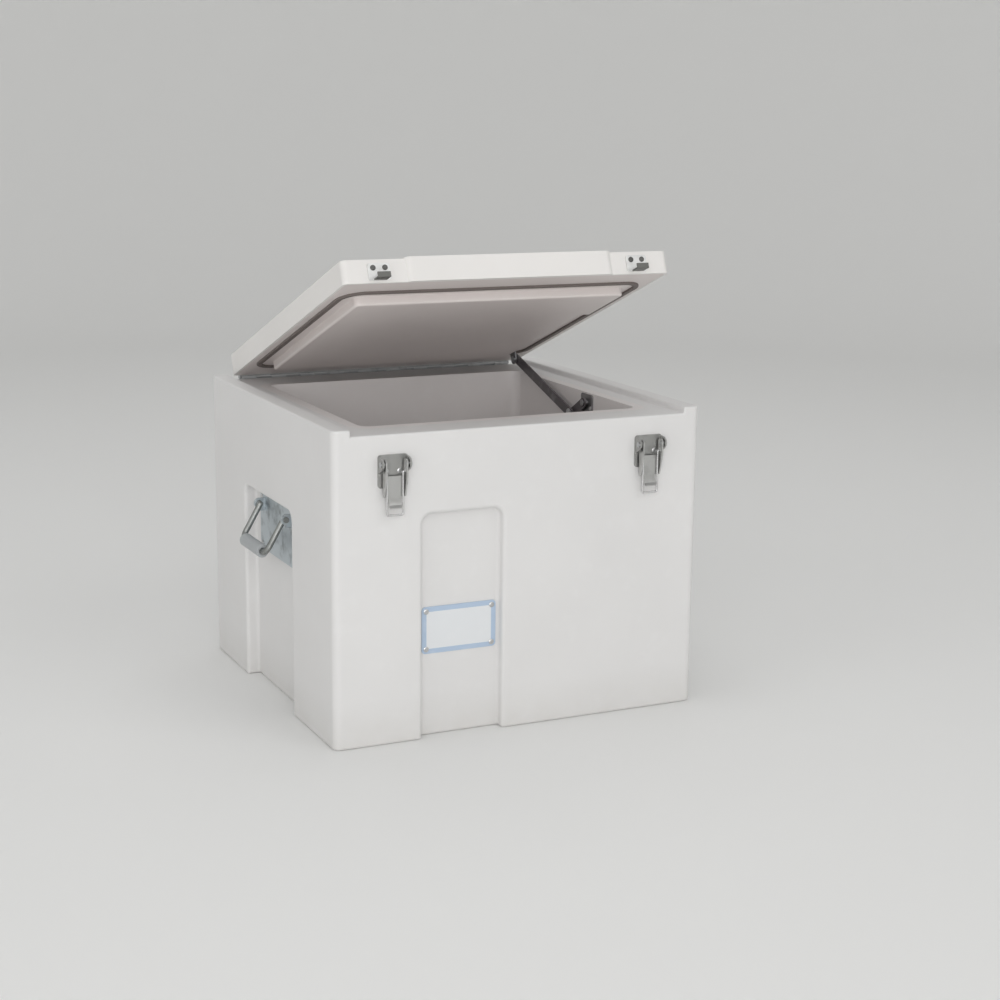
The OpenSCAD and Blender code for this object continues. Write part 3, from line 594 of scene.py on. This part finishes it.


# A pale plate with painted shade on its hook: dark where the distance in front of the open lid is past the plate's
# face.
def keeperMetal(name, **values):
    material, tree, bsdf = newMaterial(name, keeper["color"])
    a = math.radians(hinge["open"])
    forward = Vector((0, -math.cos(a), math.sin(a)))
    face = forward.dot(Vector((0, hinge["y"], hinge["z"]))) + hinge["y"] - lid["front"]
    along = tree.nodes.new("ShaderNodeVectorMath")
    along.operation = "DOT_PRODUCT"
    along.inputs[1].default_value = forward
    tree.links.new(tree.nodes.new("ShaderNodeTexCoord").outputs["Object"], along.inputs[0])
    # The hook is painted dark: painted shade under and on the hook.
    onShadedHook = mathNode(tree, "GREATER_THAN", along.outputs["Value"], face + keeper["plate"])
    surface = useGroup(tree, sheet, **values)
    tree.links.new(mixColor(tree, onShadedHook, keeper["color"], keeper["hookShadeColor"]), surface.inputs["Color"])
    feed(tree, bsdf, surface)
    bsdf.inputs["Metallic"].default_value = keeper["metallic"]
    return material


evenGrain = (300.0, 300.0, 300.0)  # stretch of the streaks on small round pieces
upright = (900.0, 900.0, 50.0)     # streaks that run up and down

finishes = {
    "shell_plastic": plastic(
        "shellPlastic", (0.765, 0.757, 0.752), Roughness=0.46, Shade=0.04, Depth=0.22, dirty=0.30),
    "lid_plastic": plastic("lidPlastic", (0.83, 0.81, 0.79), Roughness=0.44, Shade=0.04, Depth=0.22),
    "liner_plastic": plastic("linerPlastic", (0.80, 0.765, 0.755), Roughness=0.40, Shade=0.05, Depth=0.12),
    # The underside pan is written darker and pinker than the lid, in part as painted shade for its shadowed
    # underside.
    "lid_liner_plastic": plastic(
        "lidLinerPlastic", (0.76, 0.70, 0.68), Roughness=0.42, Shade=0.06, Depth=0.15),
    "foam": plastic("foamCells", (0.86, 0.78, 0.52), Roughness=0.85, Grain=500.0, Depth=0.6),
    "seal_rubber": plastic(
        "sealRubber", (0.16, 0.135, 0.125), Roughness=0.62, Grain=1400.0, Depth=0.3, Rubbed=0.03),
    "grip_rubber": plastic(
        "gripPlastic", (0.42, 0.44, 0.45), Roughness=0.48, Grain=1500.0, Depth=0.3, Rubbed=0.1),
    "label_blank": blankLabel("blankLabel"),
    "keeper_steel": keeperMetal("keeperSteel", Roughness=0.42, Stain=0.15),
    "dark_rivet_steel": metal("darkRivetSteel", (0.15, 0.15, 0.145), Roughness=0.46, Stretch=evenGrain),
    "rivet_steel": metal("rivetSteel", (0.62, 0.62, 0.62), Roughness=0.34, Stretch=evenGrain),
    "hinge_steel": metal("hingeSteel", (0.56, 0.57, 0.58), Roughness=0.36, Stretch=(40.0, 900.0, 900.0)),
    "pin_steel": metal("pinSteel", (0.52, 0.53, 0.54), Roughness=0.30, Stretch=(900.0, 300.0, 300.0)),
    "latch_steel": metal("latchSteel", (0.56, 0.56, 0.55), Roughness=0.34, Stretch=upright),
    "latch_base_steel": metal("latchBaseSteel", (0.42, 0.42, 0.41), Roughness=0.42, Stretch=upright),
    "wire_steel": metal("wireSteel", (0.66, 0.66, 0.66), Roughness=0.26, Stretch=(500.0, 500.0, 60.0)),
    "zinc_plate": metal(
        "zincPlate", (0.58, 0.63, 0.66), Roughness=0.44, Streak=0.2, Stain=0.5, Stretch=(90.0, 90.0, 90.0)),
    "bail_steel": metal("bailSteel", (0.32, 0.33, 0.32), Roughness=0.40, Stain=0.4, Stretch=evenGrain),
    "bracket_steel": metal("bracketSteel", (0.34, 0.34, 0.35), Roughness=0.44, Stretch=evenGrain),
    "stay_steel": plastic(
        "stayPaint", (0.085, 0.075, 0.08), coat=0.15, Roughness=0.42, Grain=1200.0, Depth=0.12, Rubbed=0.18),
}


def dress(obj, slotName):
    obj.data.materials.clear()
    obj.data.materials.append(finishes[slotName])


for obj, slotName in dressed:
    dress(obj, slotName)
for node, obj in frame["nodes"].items():
    dress(obj, slotOf[node])
print("all pieces finished")

# Stage: a pale bowl that bends up into a wall, soft lamps, camera

stage = {
    "rings": (0.001, 1.5, 3.0), "radius": 5.0, "bend": 1.4, "wall": 5.0, "bendSteps": 12, "around": 96,
    "color": (0.87, 0.87, 0.86), "roughness": 0.9,
}


# Profile: flat to the bend, then a quarter circle up, then a wall; turned about the Z axis.
def makeStage():
    s = stage
    a = np.linspace(0, math.pi / 2, s["bendSteps"] + 1)
    flat = s["radius"] - s["bend"]
    r = np.concatenate([s["rings"], flat + s["bend"] * np.sin(a), [s["radius"]]])
    z = np.concatenate([np.zeros(len(s["rings"])), s["bend"] * (1 - np.cos(a)), [s["wall"]]])
    turns = np.linspace(0, 2 * math.pi, s["around"] + 1)[:-1]
    x, y = np.outer(np.cos(turns), r), np.outer(np.sin(turns), r)
    verts = np.stack([x, y, np.tile(z, (s["around"], 1))], -1).reshape(-1, 3)
    n = len(r)
    i, j = np.meshgrid(np.arange(s["around"]), np.arange(n - 1), indexing="ij")
    following = (i + 1) % s["around"]
    corners = [i * n + j, following * n + j, following * n + j + 1, i * n + j + 1]
    faces = np.stack(corners, -1).reshape(-1, 4)
    bowl = addMesh("stageBowl", verts, faces)
    bowl.data.polygons.foreach_set("use_smooth", np.ones(len(faces), bool))
    material, tree, bsdf = newMaterial("stagePaper", s["color"])
    bsdf.inputs["Base Color"].default_value = (*s["color"], 1)
    bsdf.inputs["Roughness"].default_value = s["roughness"]
    bowl.data.materials.append(material)


lamps = [
    {"name": "key", "place": (1.6, -3.0, 3.0), "size": 2.4, "power": 20.0},
    {"name": "front", "place": (-1.4, -3.4, 0.95), "size": 2.4, "power": 44.0},
    {"name": "fill", "place": (-3.4, -1.2, 1.9), "size": 2.6, "power": 17.0},
    {"name": "above", "place": (0.2, 0.9, 3.8), "size": 2.8, "power": 25.0},
]
light = {"aim": (0, 0, 0.25), "sky": 0.40}


def makeLamps():
    for spec in lamps:
        data = bpy.data.lights.new(spec["name"], "AREA")
        data.shape, data.size, data.energy = "SQUARE", spec["size"], spec["power"]
        lamp = bpy.data.objects.new(spec["name"], data)
        lamp.location = spec["place"]
        aim = Vector(light["aim"]) - lamp.location
        lamp.rotation_euler = aim.to_track_quat("-Z", "Y").to_euler()
        scene.collection.objects.link(lamp)
    world = bpy.data.worlds.new("softWorld")
    world.use_nodes = True
    sky = world.node_tree.nodes["Background"]
    sky.inputs["Color"].default_value = (1, 1, 1, 1)
    sky.inputs["Strength"].default_value = light["sky"]
    scene.world = world


# Focal length in pixels of a picture that is `pixels` wide; angles in degrees; place in metres.
view = {
    "focal": 1881.25, "pixels": 1000, "sensor": 36.0, "yaw": 25.40, "pitch": 12.28, "roll": 0.62,
    "place": (-1.0392, -2.3684, 0.8171), "farthest": 50,
}


# Forward = (sin yaw cos pitch, cos yaw cos pitch, -sin pitch); right is level, then rolled.
def makeCamera():
    yaw, pitch, roll = (math.radians(view[k]) for k in ("yaw", "pitch", "roll"))
    forward = Vector((math.sin(yaw) * math.cos(pitch), math.cos(yaw) * math.cos(pitch), -math.sin(pitch)))
    right = Vector((math.cos(yaw), -math.sin(yaw), 0))
    up = right.cross(forward)
    right, up = right * math.cos(roll) + up * math.sin(roll), up * math.cos(roll) - right * math.sin(roll)
    data = bpy.data.cameras.new("camera")
    data.sensor_width = view["sensor"]
    data.lens = view["focal"] * view["sensor"] / view["pixels"]
    data.clip_end = view["farthest"]
    camera = bpy.data.objects.new("camera", data)
    turn = Matrix((right, up, -forward)).transposed()
    camera.matrix_world = Matrix.Translation(view["place"]) @ turn.to_4x4()
    scene.collection.objects.link(camera)
    scene.camera = camera


makeStage()
makeLamps()
makeCamera()
scene.view_settings.view_transform = "Standard"
print("stage made")
